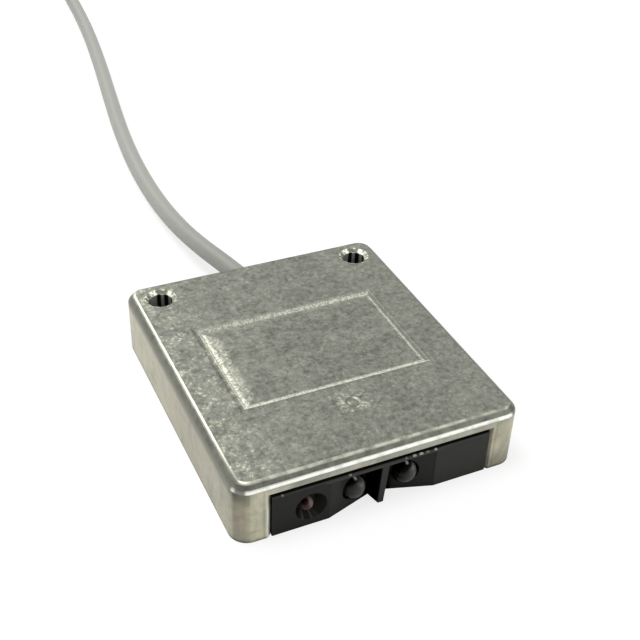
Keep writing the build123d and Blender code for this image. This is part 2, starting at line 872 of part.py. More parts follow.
# Shrink sleeve on the jacket's end
tail_end = tail_spine @ 1
tail_along = tail_spine % 1
tail_across = Vector(-tail_along.Y, tail_along.X, 0)
with BuildPart() as end_sleeve:
    with BuildSketch(Plane(origin=tail_end, z_dir=tail_along)):
        Circle(cable_radius + sleeve_thickness)
    with BuildSketch(Plane(origin=tail_end + tail_along * sleeve_length, z_dir=tail_along)):
        Circle(sleeve_tip_radius)
    loft()
save(end_sleeve.part, "end_sleeve")

# Bare ends of the three cores, fanned out and drooping on the coil
sleeve_end = tail_end + tail_along * sleeve_length
for name, column in (("end_wire_brown", -1), ("end_wire_blue", 0), ("end_wire_black", 1)):
    start = sleeve_end + tail_across * (column * core_pitch)
    bend = start + tail_along * end_wire_straight
    end = start + tail_along * end_wire_length + tail_across * (column * end_wire_fan)
    points = [tuple(start), tuple(bend), (end.X, end.Y, coil_height + core_radius)]
    wire, wire_length = tube(points, corner_radii(points), core_radius)
    save(wire, name)

turns = coil_rows * coil_columns
coil_length = 2 * pi * coil_radius * turns
print("cable length", round(route_length + coil_length + tail_spine.length))
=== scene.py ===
"""Photoelectric yarn sensor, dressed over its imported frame: die-cast housing, optics and lead."""

import logging
import math
from dataclasses import dataclass
from enum import Enum
from typing import Iterable, Sequence

import bpy
from mathutils import Euler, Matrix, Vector


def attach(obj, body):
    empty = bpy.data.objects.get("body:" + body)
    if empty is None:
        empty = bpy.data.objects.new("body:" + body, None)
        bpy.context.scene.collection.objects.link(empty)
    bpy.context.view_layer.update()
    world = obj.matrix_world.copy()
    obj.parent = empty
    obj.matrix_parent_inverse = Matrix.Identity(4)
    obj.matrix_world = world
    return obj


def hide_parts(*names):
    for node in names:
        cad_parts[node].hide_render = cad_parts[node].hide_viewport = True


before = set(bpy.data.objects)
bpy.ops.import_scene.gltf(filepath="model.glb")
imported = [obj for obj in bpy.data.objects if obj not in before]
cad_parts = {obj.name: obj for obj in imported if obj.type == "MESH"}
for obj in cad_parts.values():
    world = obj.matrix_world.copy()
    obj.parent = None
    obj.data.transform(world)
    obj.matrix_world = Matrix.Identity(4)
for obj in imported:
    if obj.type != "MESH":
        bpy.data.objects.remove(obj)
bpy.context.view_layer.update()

log = logging.getLogger("yarn_sensor")
MM = 0.001
TINY = 1e-5
FULL_TURN = 360.0
ROUND_STEPS = 5
SPLINE_ORDER = 3

Colour = tuple[float, float, float]
Point = tuple[float, float, float]


class Signal:
    """A socket's output with arithmetic on its values."""

    def __init__(self, tree: bpy.types.NodeTree, socket: bpy.types.NodeSocket) -> None:
        """Keep the tree and the socket."""
        self.tree = tree
        self.socket = socket

    def _maths(self, operation: str, *terms: "Signal | float") -> "Signal":
        """Add a Math node.

        Args:
            operation: the Math node's operation.
            terms: its inputs in order.

        Returns:
            The node's output.
        """
        node = self.tree.nodes.new("ShaderNodeMath")
        node.operation = operation
        for slot, term in zip(node.inputs, terms):
            if isinstance(term, Signal):
                self.tree.links.new(term.socket, slot)
            else:
                slot.default_value = term
        return Signal(self.tree, node.outputs[0])

    def __add__(self, other: "Signal | float") -> "Signal":
        """Sum."""
        return self._maths("ADD", self, other)

    def __radd__(self, other: float) -> "Signal":
        """Sum with a number first."""
        return self._maths("ADD", other, self)

    def __sub__(self, other: "Signal | float") -> "Signal":
        """Difference."""
        return self._maths("SUBTRACT", self, other)

    def __rsub__(self, other: float) -> "Signal":
        """Difference with a number first."""
        return self._maths("SUBTRACT", other, self)

    def __mul__(self, other: "Signal | float") -> "Signal":
        """Product."""
        return self._maths("MULTIPLY", self, other)

    def __rmul__(self, other: float) -> "Signal":
        """Product with a number first."""
        return self._maths("MULTIPLY", other, self)

    def __truediv__(self, other: "Signal | float") -> "Signal":
        """Quotient."""
        return self._maths("DIVIDE", self, other)

    def __pow__(self, other: "Signal | float") -> "Signal":
        """Power."""
        return self._maths("POWER", self, other)

    def __abs__(self) -> "Signal":
        """Size without sign."""
        return self._maths("ABSOLUTE", self)

    def at_least(self, other: "Signal | float") -> "Signal":
        """The larger of two."""
        return self._maths("MAXIMUM", self, other)

    def at_most(self, other: "Signal | float") -> "Signal":
        """The smaller of two."""
        return self._maths("MINIMUM", self, other)

    def sine(self) -> "Signal":
        """Sine of an angle in radians."""
        return self._maths("SINE", self)

    def angle_to(self, other: "Signal") -> "Signal":
        """Angle whose tangent is this over the other."""
        return self._maths("ARCTAN2", self, other)

    def over(self, low: float, high: float) -> "Signal":
        """Rise smoothly from 0 at low to 1 at high, or fall if low is the larger.

        Args:
            low: the value that gives 0.
            high: the value that gives 1.

        Returns:
            The smooth step.
        """
        node = self.tree.nodes.new("ShaderNodeMapRange")
        node.interpolation_type = "SMOOTHSTEP"
        self.tree.links.new(self.socket, node.inputs["Value"])
        falling = low > high
        node.inputs["From Min"].default_value = min(low, high)
        node.inputs["From Max"].default_value = max(low, high)
        node.inputs["To Min"].default_value = 1.0 if falling else 0.0
        node.inputs["To Max"].default_value = 0.0 if falling else 1.0
        return Signal(self.tree, node.outputs["Result"])

    def near(self, middle: float, reach: float) -> "Signal":
        """One at a value, falling to 0 a reach away from it."""
        return abs(self - middle).over(reach, 0.0)


Value = Signal | float | Sequence[float]


class Recipe:
    """A material's node tree while it is written."""

    def __init__(self, name: str) -> None:
        """Start an empty material."""
        self.material = bpy.data.materials.new(name)
        self.material.use_nodes = True
        self.tree = self.material.node_tree
        self.tree.nodes.clear()

    def node(
        self,
        kind: str,
        settings: dict[str, object] | None = None,
        inputs: dict[str | int, Value] | None = None,
        output: str | int = 0,
    ) -> Signal:
        """Add a node.

        Args:
            kind: the node's type.
            settings: attributes to set first.
            inputs: values or links of its sockets.
            output: the output that is wanted.

        Returns:
            That output.
        """
        node = self.tree.nodes.new(kind)
        for name, value in (settings or {}).items():
            setattr(node, name, value)
        for name, value in (inputs or {}).items():
            self.feed(node.inputs[name], value)
        return Signal(self.tree, node.outputs[output])

    def feed(self, slot: bpy.types.NodeSocket, value: Value) -> None:
        """Link a signal to a socket, or set its value."""
        if isinstance(value, Signal):
            self.tree.links.new(value.socket, slot)
        elif isinstance(value, (int, float)):
            slot.default_value = value
        else:
            parts = tuple(value)
            if slot.type == "RGBA" and len(parts) == 3:
                parts += (1.0,)
            slot.default_value = parts

    def millimetres(self) -> Signal:
        """The surface's own coordinates in millimetres."""
        place = self.node("ShaderNodeTexCoord", output="Object")
        return self.vector("SCALE", place, scale=1.0 / MM)

    def vector(self, operation: str, *terms: Value, scale: float | None = None) -> Signal:
        """Add a Vector Math node and return its vector."""
        inputs: dict[str | int, Value] = dict(enumerate(terms))
        if scale is not None:
            inputs["Scale"] = scale
        return self.node("ShaderNodeVectorMath", {"operation": operation}, inputs)

    def split(self, place: Signal) -> tuple[Signal, Signal, Signal]:
        """The three parts of a vector."""
        node = self.tree.nodes.new("ShaderNodeSeparateXYZ")
        self.tree.links.new(place.socket, node.inputs[0])
        return tuple(Signal(self.tree, socket) for socket in node.outputs)

    def joined(self, x: Value, y: Value, z: Value) -> Signal:
        """A vector from its three parts."""
        return self.node("ShaderNodeCombineXYZ", inputs={0: x, 1: y, 2: z})

    def facing_up(self) -> Signal:
        """How far the surface faces up, from -1 to 1."""
        return self.split(self.node("ShaderNodeNewGeometry", output="Normal"))[2]

    def noise(self, place: Signal, grain: float, detail: float = 2.0, rough: float = 0.5) -> Signal:
        """Soft noise.

        Args:
            place: the coordinates, in millimetres.
            grain: the size of its spots, in millimetres.
            detail: how many finer layers it has.
            rough: how strong those are.

        Returns:
            Values about 0.5.
        """
        return self.node(
            "ShaderNodeTexNoise",
            inputs={"Vector": place, "Scale": 1.0 / grain, "Detail": detail, "Roughness": rough},
        )

    def cells(self, place: Signal, grain: float, output: str = "Distance") -> Signal:
        """Random cells of a size in millimetres."""
        return self.node(
            "ShaderNodeTexVoronoi", inputs={"Vector": place, "Scale": 1.0 / grain}, output=output
        )

    def blend(self, first: Value, second: Value, factor: Value, mode: str = "MIX") -> Signal:
        """Mix two colours.

        Args:
            first: the colour at 0.
            second: the colour at 1.
            factor: how much of the second.
            mode: the way they mix.

        Returns:
            The colour.
        """
        return self.node(
            "ShaderNodeMix",
            {"data_type": "RGBA", "blend_type": mode},
            {0: factor, 6: first, 7: second},
            output=2,
        )

    def tinted(self, colour: Value, value: Signal) -> Signal:
        """A colour times a value."""
        grey = self.joined(value, value, value)
        return self.vector("MULTIPLY", colour, grey)

    def bump(self, height: Signal, depth: float, strength: float = 1.0) -> Signal:
        """Turn a height from 0 to 1 into a normal; the depth is in millimetres."""
        return self.node(
            "ShaderNodeBump", inputs={"Height": height, "Distance": depth * MM, "Strength": strength}
        )

    def surface(self, inputs: dict[str, Value]) -> bpy.types.Material:
        """Close the recipe with a shader of these inputs."""
        shader = self.node("ShaderNodeBsdfPrincipled", inputs=inputs)
        return self.close(shader)

    def close(self, shader: Signal) -> bpy.types.Material:
        """Link a shader to the output."""
        end = self.tree.nodes.new("ShaderNodeOutputMaterial")
        self.tree.links.new(shader.socket, end.inputs["Surface"])
        return self.material


class Finish:
    """A finish that is written once and shared by its pieces."""

    name: str
    _made: dict[str, bpy.types.Material] = {}

    def write(self, recipe: Recipe) -> bpy.types.Material:
        """Write the finish's nodes."""
        raise NotImplementedError

    def material(self) -> bpy.types.Material:
        """The finish's material, written on first use."""
        if self.name not in Finish._made:
            Finish._made[self.name] = self.write(Recipe(self.name))
        return Finish._made[self.name]

    def dress(self, *pieces: bpy.types.Object) -> None:
        """Put the finish on pieces, all over."""
        for piece in pieces:
            piece.data.materials.clear()
            piece.data.materials.append(self.material())


class Casting:
    """Places on the casting that its finish refers to, in millimetres."""

    def __init__(self, recipe: Recipe, half_width: float, half_length: float, corner: float) -> None:
        """Work out the signals that the layers of the finish share.

        Args:
            recipe: the material being written.
            half_width: half the casting's width.
            half_length: half its length.
            corner: the radius of its upright corners.
        """
        self.place = recipe.millimetres()
        self.x, self.y, self.z = recipe.split(self.place)
        normal = recipe.node("ShaderNodeNewGeometry", output="Normal")
        across, along, self.up = recipe.split(normal)
        level = (across * across + along * along + TINY) ** 0.5
        self.left = (0.0 - across) / level
        self.front = (0.0 - along) / level
        self.flat = self.up.over(0.955, 0.99)
        self.upright = abs(self.up).over(0.14, 0.04)
        past_x = abs(self.x) - (half_width - corner)
        past_y = abs(self.y) - (half_length - corner)
        round_x, round_y = past_x.at_least(0.0), past_y.at_least(0.0)
        reach = (round_x * round_x + round_y * round_y) ** 0.5
        self.inset = corner - reach - past_x.at_least(past_y).at_most(0.0)
        self.sand = recipe.noise(self.place, 1.5, 3.0, 0.60)
        self.fine = recipe.noise(self.place, 0.5, 1.0)
        self.grains = recipe.split(recipe.cells(self.place, 0.65, "Color"))[0]
        self.specks = recipe.cells(self.place, 0.72).over(0.66, 0.24)
        self.streak = recipe.noise(self.place, 5.5, 3.0, 0.55)
        self.blotch = recipe.noise(self.place, 11.0, 2.0)

    def around(self, x: float, y: float) -> Signal:
        """Distance from an upright axis."""
        away_x, away_y = self.x - x, self.y - y
        return (away_x * away_x + away_y * away_y) ** 0.5

    def angle(self, x: float, y: float) -> Signal:
        """Angle about an upright axis, in degrees."""
        return (self.y - y).angle_to(self.x - x) * math.degrees(1.0)


@dataclass(frozen=True)
class CastAlloy(Finish):
    """Bare tumbled die casting, in millimetres: sandy skin, painted shade on chamfers, painted highlights
    with wear on edges.
    """

    name: str = "cast_alloy"
    half_width: float = 32.5
    half_length: float = 37.0
    corner: float = 4.0
    # Painted light and shade: the top's skin is written darker and the walls paler, as light falls on one
    # alloy
    skin: Colour = (0.166, 0.171, 0.143)
    wall: Colour = (0.345, 0.335, 0.250)
    rust: Colour = (0.320, 0.270, 0.205)
    lintel: Colour = (0.330, 0.345, 0.300)
    # Painted shade: the dark tone of chamfers and slopes, also of the mark's ring and the countersinks
    painted_shade: Colour = (0.150, 0.152, 0.125)
    # Pale tones of the bright edges: painted highlights with some wear, on rims, jamb, field and
    # countersinks
    wear_and_highlight: Colour = (0.92, 0.93, 0.84)
    edge: Colour = (0.84, 0.84, 0.70)
    fleck: Colour = (0.62, 0.62, 0.49)
    field_half: tuple[float, float] = (21.45, 14.3)
    field_middle: float = -0.4
    slope: float = 0.32
    mark: tuple[float, float] = (0.0, -21.5)
    window_half: float = 24.85
    bores: tuple[tuple[float, float], ...] = ((-25.5, 30.0), (25.5, 30.0))
    bore_radius: float = 2.75
    sink_radius: float = 3.6
    # Angle and half width of each dark stripe of painted reflection in the bores
    bore_dark: tuple[tuple[float, float], ...] = (
        (83.0, 13.0), (45.0, 15.0), (3.0, 10.0), (-60.0, 20.0), (-130.0, 16.0), (150.0, 12.0),
    )
    machined: Colour = (0.50, 0.51, 0.47)
    reflected_dark: Colour = (0.008, 0.008, 0.006)
    metallic: float = 0.8

    def flecks(self, r: Recipe, c: Casting) -> Signal:
        """Where bright grains lie: thick along the left side and round the mark, thin elsewhere."""
        left = c.x.over(-19.0, -30.0) * 0.9 + (c.x - c.y * 0.4).over(-26.0, -40.0) * 0.5
        near_field = abs(c.x + 21.0).over(3.5, 0.5) * abs(c.y).over(17.0, 12.0) * 0.7
        mark = c.around(*self.mark)
        rays = mark.over(7.0, 1.5) * 0.55
        crown = mark.over(1.7, 2.0) * mark.over(2.8, 2.2) * 0.5
        share = (0.2 + left + near_field + rays + crown).at_most(1.0)
        clumps = r.noise(c.place, 2.6, 2.0, 0.45).over(0.44, 0.60)
        chosen = c.grains.over(0.42, 0.78)
        return (c.specks * chosen * (0.22 + clumps * 0.62) + clumps * 0.16) * share

    def skin_colour(self, r: Recipe, c: Casting) -> Signal:
        """The sandy top, brighter towards the right as painted light."""
        shade = 1.0 + (c.sand - 0.5) * 1.5 + (c.fine - 0.5) * 0.35 + (c.grains - 0.5) * 0.34
        # Painted light: the top grows brighter towards the right
        shade = shade + (c.streak - 0.5) * 0.35 + (c.blotch - 0.5) * 0.25 + c.x.over(4.0, 30.0) * 0.12
        colour = r.tinted(self.skin, shade.at_least(0.35))
        return r.blend(colour, self.fleck, self.flecks(r, c) * 0.64)

    def wall_colour(self, r: Recipe, c: Casting) -> Signal:
        """The upright walls: pale as painted light, with brownish patches; painted shade darkens the
        corners, the top and the foot.
        """
        patches = r.noise(r.vector("MULTIPLY", c.place, (1.0, 1.0, 0.5)), 4.5, 3.0, 0.55)
        colour = r.blend(self.wall, self.rust, patches.over(0.48, 0.66) * 0.8)
        # Painted shade: the round corners, the top near the chamfer and the foot of the walls are darkened
        corner = c.left.over(0.96, 0.86) * c.left.over(0.06, 0.30) * c.front.over(0.2, 0.3)
        rise = c.z.over(11.2, 13.4) * (c.left.over(0.5, 0.9) * 0.45 + 0.12)
        foot = c.z.over(0.9, 0.1) * 0.5
        shade = 1.0 + (patches - 0.5) * 0.9 + (c.sand - 0.5) * 0.55
        shade = shade * (1.0 - corner * (0.36 + c.z.over(9.5, 12.0) * 0.22)) * (1.0 - rise) * (1.0 - foot)
        # Painted light: the front wall is brighter near its left end
        shade = shade * (1.0 + c.front.over(0.86, 0.98) * c.x.over(-20.0, -24.0) * 0.3)
        # The left wall is graded along its length, darker about its middle
        side = c.left.over(0.5, 0.9)
        shade = shade * (1.0 + c.y * side * 0.004 - (c.y + 8.0).near(0.0, 16.0) * side * 0.08)
        shade = shade * (1.0 + (c.streak - 0.5) * c.front.over(0.2, 0.6) * 0.8)
        colour = r.tinted(colour, shade.at_least(0.2))
        beside = abs(c.x) - self.window_half
        # Painted highlight on the window's jamb, and a darker line on the wall beside it
        jamb = beside.near(0.25, 1.1) * c.front.over(0.5, 0.65) * c.z.over(10.0, 7.0) * c.x.over(0.0, -1.0)
        dark_line = beside.near(1.55, 0.4) * c.front.over(0.9, 0.97) * 0.2
        brow = c.front.over(0.9, 0.97) * beside.over(0.6, -0.6) * c.z.over(11.6, 12.2)
        lintel = r.tinted(self.lintel, shade * (0.86 + c.x.over(-24.0, 20.0) * 0.22))
        colour = r.blend(r.tinted(colour, 1.0 - dark_line), lintel, brow * 0.8)
        return r.blend(colour, self.wear_and_highlight, jamb)

    def rims(self, r: Recipe, c: Casting, colour: Signal) -> Signal:
        """Chamfer in painted shade, its edges in painted highlights with wear; each side its own tone."""
        left, front = c.left.over(0.55, 0.9), c.front.over(0.3, 0.8)
        outer = c.inset.over(4.5, 3.0) * c.z.over(12.0, 12.6)
        chamfer = c.up.over(0.60, 0.69) * c.up.over(0.80, 0.73) * outer
        # Painted shade: the chamfer is darkened, the front one more than the left
        grain = 1.0 + (c.sand - 0.5) * 0.9 + (c.streak - 0.5) * 0.5 - front * 0.42
        colour = r.blend(colour, r.tinted(self.painted_shade, grain), chamfer)
        broken = r.noise(c.place, 2.2, 2.0).over(0.30, 0.62)
        upper = c.up.over(0.72, 0.80) * c.up.over(0.999, 0.98) * outer
        # Painted highlight along the top edges: strong on the left, fading towards the front, broken on the
        # front
        fade = c.y.over(-35.0, -17.0) * 0.52 + 0.12
        front_wear_and_highlight = front * (0.12 + broken * 0.30)
        upper_bright = (left * fade + front_wear_and_highlight).at_most(1.0)
        # Painted shade: the top edge is dulled at the front-left corner
        front_corner = left * c.y.over(-28.0, -34.0) * 0.45
        dull = r.blend(r.tinted(self.painted_shade, 0.62 - front_corner + c.sand * 0.3), self.edge, upper_bright)
        colour = r.blend(colour, dull, upper)
        # Painted highlight widened beside the left top edge
        beside = chamfer * c.z.over(14.45, 14.75) + c.flat * c.inset.near(2.05, 0.55)
        colour = r.blend(colour, self.edge, beside * left * fade * (0.18 + broken * 0.42) * outer)
        # Painted highlight on the front chamfer's upper part, stronger to the left
        shoulder = chamfer * c.z.over(14.5, 14.75) * front_wear_and_highlight
        colour = r.blend(colour, self.edge, shoulder * (1.0 - c.x.over(-18.0, 10.0) * 0.6))
        # Painted highlight with some wear along the lower edges, strongest on the front, fading to the
        # right
        lower = c.up.over(0.06, 0.24) * c.up.over(0.66, 0.56) * outer
        wide = chamfer * c.z.over(13.95, 13.7)
        straight = c.front.over(0.86, 0.96)
        tip = c.front.near(0.42, 0.2) * c.left.over(0.5, 0.8)
        share = straight * (0.60 + broken * 0.26 - c.x.over(-12.0, 26.0) * 0.14) + tip * 0.6 + 0.05
        return r.blend(colour, self.wear_and_highlight, ((lower + wide).at_most(1.0) * share).at_most(1.0))

    def field(self, r: Recipe, c: Casting, colour: Signal) -> Signal:
        """The label field's sloping rim: painted highlights on its edges, broken by wear, and painted shade
        outside.
        """
        past_x = abs(c.x) - self.field_half[0]
        past_y = abs(c.y - self.field_middle) - self.field_half[1]
        edge = past_x.at_least(past_y)
        side = (past_x - past_y).over(-0.05, 0.05)
        left, right = side * c.x.over(1.0, -1.0), side * c.x.over(-1.0, 1.0)
        back, front = (1.0 - side) * c.y.over(-1.0, 1.0), (1.0 - side) * c.y.over(1.0, -1.0)
        on_top = c.inset.over(5.0, 6.0) * c.z.over(14.0, 14.2)
        slope = abs(edge).over(self.slope + 0.12, self.slope - 0.05) * on_top
        crumbs = c.fine.over(0.36, 0.60)
        colour = r.blend(colour, r.tinted(self.skin, 1.05 + (c.sand - 0.5)), slope)
        # Painted shade: darker lines just outside the field's edges, strongest on the left
        dark_line = edge.near(1.3, 0.6) * left * 0.42 + edge.near(0.85, 0.5) * (front * 0.13 + right * 0.1)
        colour = r.tinted(colour, 1.0 - dark_line * on_top)
        # Painted highlights on the field's edges, each side its own pattern, broken into crumbs by wear
        wide = edge.near(0.0, 1.6) * on_top
        glow = edge.near(-0.55, 0.65) * on_top
        bar = edge.over(0.66, 0.34) * edge.over(-1.4, -0.7) * on_top
        trail = edge.over(0.1, -0.4) * edge.over(-4.2, -1.8) * on_top
        outer = edge.near(0.45, 0.28) * on_top
        solid = bar * (0.18 + crumbs * 0.30)
        loose = trail * (0.10 + crumbs * c.grains * 0.36)
        weight = left * (solid + loose) * (1.0 + slope * 0.5)
        weight = weight + back * (wide * (0.08 + crumbs * 0.14) + slope * crumbs * 0.12)
        lip = outer * (0.30 + crumbs * 0.3) + slope * (0.2 + crumbs * 0.4)
        weight = weight + front * (lip + glow * (0.25 + crumbs * 0.35))
        ridge = edge.near(-0.42, 0.34) * 0.7 + edge.near(0.42, 0.22) * 0.3
        weight = weight + right * on_top * (ridge * (0.26 + crumbs * 0.42) + glow * crumbs * 0.14)
        return r.blend(colour, self.edge, weight.at_most(1.0))

    def mark_colour(self, r: Recipe, c: Casting, colour: Signal) -> Signal:
        """Dark ring of painted shade in the ejector mark, and the pale scores that spread from it."""
        far = c.around(*self.mark)
        turn = c.angle(*self.mark)
        spoke = r.joined(turn * 0.030, far * 0.25, 0.0)
        rays = r.noise(spoke, 1.0, 1.0).over(0.50, 0.66) * far.over(5.5, 1.9) * far.over(1.5, 1.9) * 0.72
        # Painted shade: a dark ring in the mark's dimple
        ring = far.near(1.25, 0.45)
        on_top = c.flat.at_least(far.over(2.2, 1.9))
        colour = r.blend(colour, self.fleck, rays * on_top * c.fine.over(0.35, 0.55))
        return r.blend(colour, self.painted_shade, ring * 0.7)

    def bore_colour(self, r: Recipe, c: Casting, colour: Signal) -> Signal:
        """Bright broken countersinks on painted shade, and machined bores with dark stripes of painted
        reflection.
        """
        for x, y in self.bores:
            far, turn = c.around(x, y), c.angle(x, y)
            # Painted reflections: dark stripes round the bore wall
            stripes = 0.0
            for middle, half in self.bore_dark:
                stripes = abs(turn - middle).over(half, half * 0.6) + stripes
            inside = far.over(self.bore_radius + 0.12, self.bore_radius)
            wall = r.blend(self.machined, self.reflected_dark, stripes.at_most(1.0))
            colour = r.blend(colour, wall, inside)
            # Countersink cone: painted shade tone broken by bright chips
            cone = far.over(self.sink_radius + 0.25, self.sink_radius) * (1.0 - inside)
            chips = r.noise(r.joined(turn * 0.045, c.z * 0.6, far * 0.3), 1.0, 2.0).over(0.44, 0.60)
            ring = r.blend(r.tinted(self.painted_shade, 0.40 + c.sand), self.edge, chips * 0.9)
            colour = r.blend(colour, ring, cone * c.z.over(13.0, 13.6))
        return colour

    def write(self, recipe: Recipe) -> bpy.types.Material:
        """Write the alloy's nodes."""
        c = Casting(recipe, self.half_width, self.half_length, self.corner)
        # Surfaces neither flat nor upright take the painted shade tone
        colour = recipe.blend(self.painted_shade, self.skin_colour(recipe, c), c.flat)
        colour = recipe.blend(colour, self.wall_colour(recipe, c), c.upright)
        colour = self.rims(recipe, c, colour)
        colour = self.field(recipe, c, colour)
        colour = self.mark_colour(recipe, c, colour)
        colour = self.bore_colour(recipe, c, colour)
        grain = c.sand * 0.6 + c.fine * 0.4
        return recipe.surface(
            {
                "Base Color": colour,
                "Metallic": self.metallic,
                "Roughness": 0.40 + (c.streak - 0.5) * 0.2,
                "Normal": recipe.bump(grain, 0.05, 0.5),
            }
        )


@dataclass(frozen=True)
class BlackMoulding(Finish):
    """Satin black plastic of the optic block, in millimetres, with painted shade in its notch and lamp
    recess.
    """

    name: str = "black_moulding"
    face: Colour = (0.0094, 0.0098, 0.0082)
    # Paler tone of painted light and reflections on the block
    pale: Colour = (0.034, 0.035, 0.029)
    # Near-black diffuse tone of the painted shade in the notch and recess
    matt: Colour = (0.0006, 0.0006, 0.0005)
    # Pale colour of painted glints where each nick in the upper edge catches light
    nick_glint: Colour = (0.45, 0.46, 0.42)
    front: float = -36.95
    notch_half: float = 12.15
    roof: float = 9.75
    recess: tuple[float, float] = (-16.2, 4.9)
    recess_radius: float = 3.5
    lamp: tuple[float, float] = (-16.8, 4.9)
    # Angle and half width of each pale painted reflection in the lamp recess
    recess_reflections: tuple[tuple[float, float], ...] = ((-112.0, 8.0), (-76.0, 6.5))
    nick_glint_level: float = 10.12
    # Place, half width and strength of each painted glint along the upper edge
    nick_glints: tuple[tuple[float, float, float], ...] = (
        (-22.5, 0.30, 0.35), (-7.8, 0.40, 0.40), (4.9, 0.30, 0.30), (6.85, 0.50, 0.85),
        (8.40, 0.55, 0.90), (9.9, 0.50, 0.30), (11.8, 0.35, 1.0),
    )

    def write(self, recipe: Recipe) -> bpy.types.Material:
        """Write the plastic's nodes."""
        r = recipe
        place = r.millimetres()
        x, y, z = r.split(place)
        up = r.facing_up()
        cloud = r.noise(place, 3.0, 3.0)
        grain = r.noise(place, 0.25, 2.0)
        deep = (y - self.front).over(0.04, 0.35)
        shallow = 1.0 - deep
        below_roof = z.over(self.roof, self.roof - 0.1)
        in_notch = abs(x).over(self.notch_half + 0.1, self.notch_half - 0.1) * below_roof
        fin = abs(x - 0.05).over(1.4, 1.1) * shallow * below_roof
        over_notch = abs(x).over(self.notch_half + 2.0, self.notch_half)
        lip = z.over(self.roof - 0.02, self.roof + 0.08) * shallow * over_notch
        right = x.over(self.notch_half - 0.1, self.notch_half + 0.1) * shallow
        edge = up.near(0.707, 0.12)
        tone = 0.85 + cloud * 0.3 + (grain - 0.5) * 0.35
        tone = tone * (1.0 + in_notch * deep * 0.25)
        # Painted light: the fin's front, the roof's lip, the right flat and the top chamfer are lifted
        # paler
        lift = (fin * 0.55 + lip * 0.9 + right * 0.45 + edge * 0.9).at_most(1.0)
        colour = r.tinted(r.blend(self.face, self.pale, lift), tone)
        away_x, away_z = x - self.recess[0], z - self.recess[1]
        from_recess = (away_x * away_x + away_z * away_z) ** 0.5
        in_recess = from_recess.over(self.recess_radius + 0.05, self.recess_radius - 0.1)
        side_x, side_z = x - self.lamp[0], z - self.lamp[1]
        turn = side_z.angle_to(side_x) * math.degrees(1.0)
        # Painted reflections: pale lines on the recess floor below the lamp
        streak = 0.0
        for middle, half in self.recess_reflections:
            streak = abs(turn - middle).over(half, half * 0.3) + streak
        hollow = in_recess * (y - self.front).over(0.03, 0.12)
        colour = r.blend(colour, self.pale, hollow * streak * 0.9)
        # Painted glints, one per nick, along the block's upper edge
        nick_glinting = 0.0
        for middle, half, share in self.nick_glints:
            nick_glinting = abs(x - middle).over(half, half * 0.5) * share + nick_glinting
        nick_glinting = nick_glinting * z.over(self.nick_glint_level, self.nick_glint_level + 0.1) * (y - self.front).over(0.5, 0.3)
        colour = r.blend(colour, self.nick_glint, nick_glinting.at_most(1.0))
        # Painted shade: the notch's corner under the roof and the recess walls turn near-black
        shadow = abs(x).over(4.2, 2.2) * deep * z.over(self.roof + 0.05, self.roof - 0.1)
        dull = (shadow + hollow * (1.0 - streak.at_most(1.0)) * 0.5).at_most(1.0)
        normal = r.bump(grain, 0.012, 0.4)
        satin = r.node(
            "ShaderNodeBsdfPrincipled",
            inputs={
                "Base Color": colour,
                "Roughness": 0.42 + (cloud - 0.5) * 0.15,
                "Specular IOR Level": 0.12,
                "Normal": normal,
            },
        )
        matt = r.node("ShaderNodeBsdfDiffuse", inputs={"Color": self.matt, "Normal": normal})
        return r.close(r.node("ShaderNodeMixShader", inputs={0: dull, 1: satin, 2: matt}))


@dataclass(frozen=True)
class DarkResin(Finish):
    """Dark lens resin: glossy, painted paler to its right and painted dark in its upper left part, as
    reflections.

    The painted shading is level + slant * normal x - fall * normal z, in shares of the colour.
    """

    name: str = "dark_epoxy"
    colour: Colour = (0.034, 0.034, 0.032)
    # Colour of the painted dark reflection in the dome's upper left
    dark_reflection: Colour = (0.0006, 0.0006, 0.0006)
    # Colour of the painted catch-light at the top of the dome
    rim: Colour = (0.62, 0.62, 0.60)
    level: float = 1.31
    slant: float = 1.0
    fall: float = 0.43
    glint: float = 2.0
    glint_rise: float = 0.55
    dark_reflection_edge: tuple[float, float] = (0.55, 0.71)

    def write(self, recipe: Recipe) -> bpy.types.Material:
        """Write the resin's nodes."""
        r = recipe
        place = r.millimetres()
        cloud = r.noise(place, 1.2, 2.0)
        across, _, up = r.split(r.node("ShaderNodeNewGeometry", output="Normal"))
        # Painted reflection: the dome's upper left is dark
        dark_reflection = (up * 0.75 - across * 0.30).over(*self.dark_reflection_edge)
        # Painted highlights: a catch-light at the top, a glint to the right, and tone paler to the right
        catch = up.over(0.90, 0.97) * across.near(0.06, 0.24) * (cloud * 0.4 + 0.8)
        lit = (self.level + across * self.slant - up * self.fall).at_least(0.2)
        glint = across.near(0.48, 0.34) * up.near(self.glint_rise, 0.24) * self.glint
        colour = r.tinted(self.colour, (lit + glint) * (0.8 + cloud * 0.4))
        colour = r.blend(colour, self.rim, catch.at_most(1.0))
        gloss = r.node(
            "ShaderNodeBsdfPrincipled",
            inputs={"Base Color": colour, "Roughness": 0.09 + cloud * 0.03, "Specular IOR Level": 0.10},
        )
        black = r.node(
            "ShaderNodeBsdfPrincipled",
            inputs={"Base Color": self.dark_reflection, "Roughness": 0.12, "Specular IOR Level": 0.02},
        )
        dark = dark_reflection * 0.92 * (1.0 - catch.at_most(1.0))
        return r.close(r.node("ShaderNodeMixShader", inputs={0: dark, 1: gloss, 2: black}))


